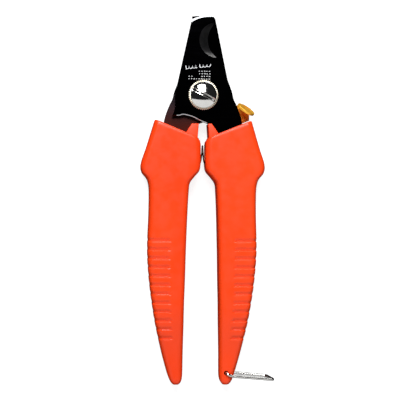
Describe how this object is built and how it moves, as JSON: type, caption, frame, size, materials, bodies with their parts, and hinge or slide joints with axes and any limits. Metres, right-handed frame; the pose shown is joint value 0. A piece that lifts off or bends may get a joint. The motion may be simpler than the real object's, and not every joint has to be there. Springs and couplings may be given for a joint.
{
  "type": "plier-style pet nail clipper",
  "caption": "Hand clipper for pet nails: crossed polished blades with curved notches on one pivot, sprung moulded grips, a swinging nail guard and a wire closing loop.",
  "frame": {"origin": "where the pivot's axis meets the surface the clipper lies on, at the centre of the pivot screw's flat end", "axes": "+X to the right, +Y along the handles towards the jaws, +Z out of the front face along the pivot's axis"},
  "size_m": [0.0554, 0.151, 0.013],
  "materials": {
    "black_steel": "black, polished to a mirror, with bare ground bevels",
    "orange_plastic": "satin-gloss moulded orange",
    "chrome": "bright plated",
    "gold": "yellow gold, satin",
    "spring_steel": "dark drawn wire"
  },
  "bodies": {
    "right_lever": {"front_blade": "black_steel", "right_grip": "orange_plastic", "pivot_screw": "chrome", "toothed_washer": "chrome", "pivot_bush": "chrome", "wave_washer": "spring_steel", "pivot_nut": "chrome", "coil_spring": "spring_steel"},
    "left_lever": {"rear_blade": "black_steel", "left_grip": "orange_plastic"},
    "guard": {"nail_guard": "gold"},
    "bail": {"wire_bail": "chrome"}
  },
  "joints": [
    {"name": "handle_pivot", "type": "hinge", "parent": "right_lever", "child": "left_lever", "pos_m": [0, 0, 0.0065], "axis": [0, 0, -1], "range_deg": [-2.2, 26], "stiffness_Nm_per_rad": 0.8, "springref_deg": 34.38, "deforming": ["coil_spring"]},
    {"name": "guard_swing", "type": "hinge", "parent": "right_lever", "child": "guard", "pos_m": [0, 0, 0.003], "axis": [0, 0, 1], "range_deg": [0, 28]},
    {"name": "bail_swing", "type": "hinge", "parent": "right_lever", "child": "bail", "pos_m": [0.0103, -0.1131, 0.0065], "axis": [0, 0, 1], "range_deg": [-145, 50]}
  ]
}
